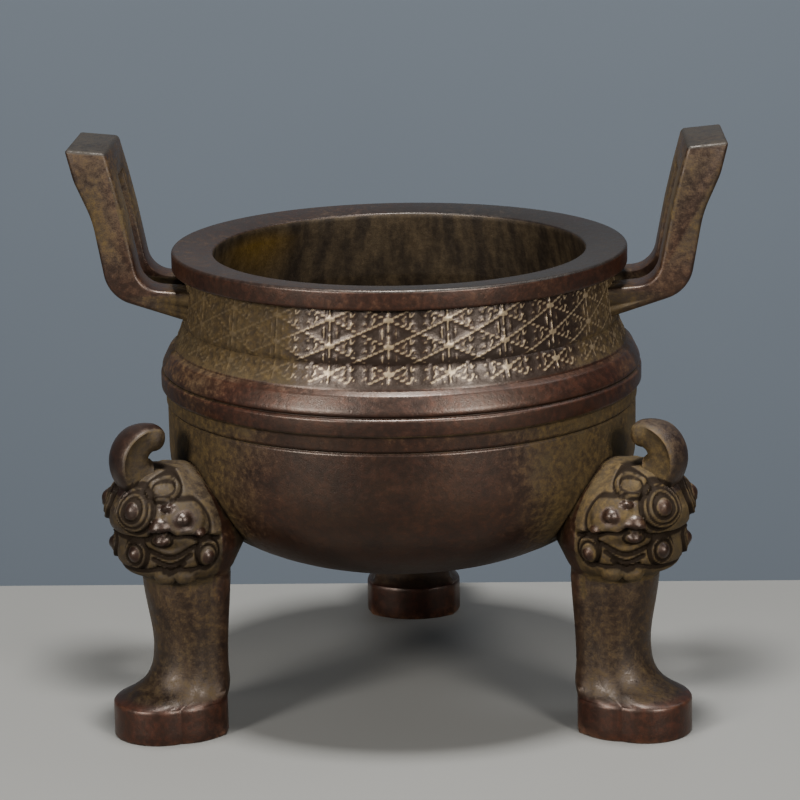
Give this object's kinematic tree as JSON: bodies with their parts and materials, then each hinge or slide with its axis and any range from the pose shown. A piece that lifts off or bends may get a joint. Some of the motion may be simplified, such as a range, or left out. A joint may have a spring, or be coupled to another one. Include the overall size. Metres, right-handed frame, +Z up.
{
  "type": "tripod incense burner",
  "caption": "Hollow round bronze bowl with a flat rim, ridged shoulder, upright loop handles and mask-headed legs on spreading feet, for burning incense.",
  "frame": {"origin": "under the middle of the object's box, on the plane the feet stand on; the bowl's axis is 9.85 mm towards -Y of it", "axes": "+Z up along the bowl's axis, X through both handles, one leg towards +Y and two towards -Y"},
  "size_m": [0.1562, 0.1366, 0.1379],
  "materials": {
    "bronze": "patinated, satin"
  },
  "bodies": {
    "root": {"censer": "bronze"}
  },
  "joints": []
}
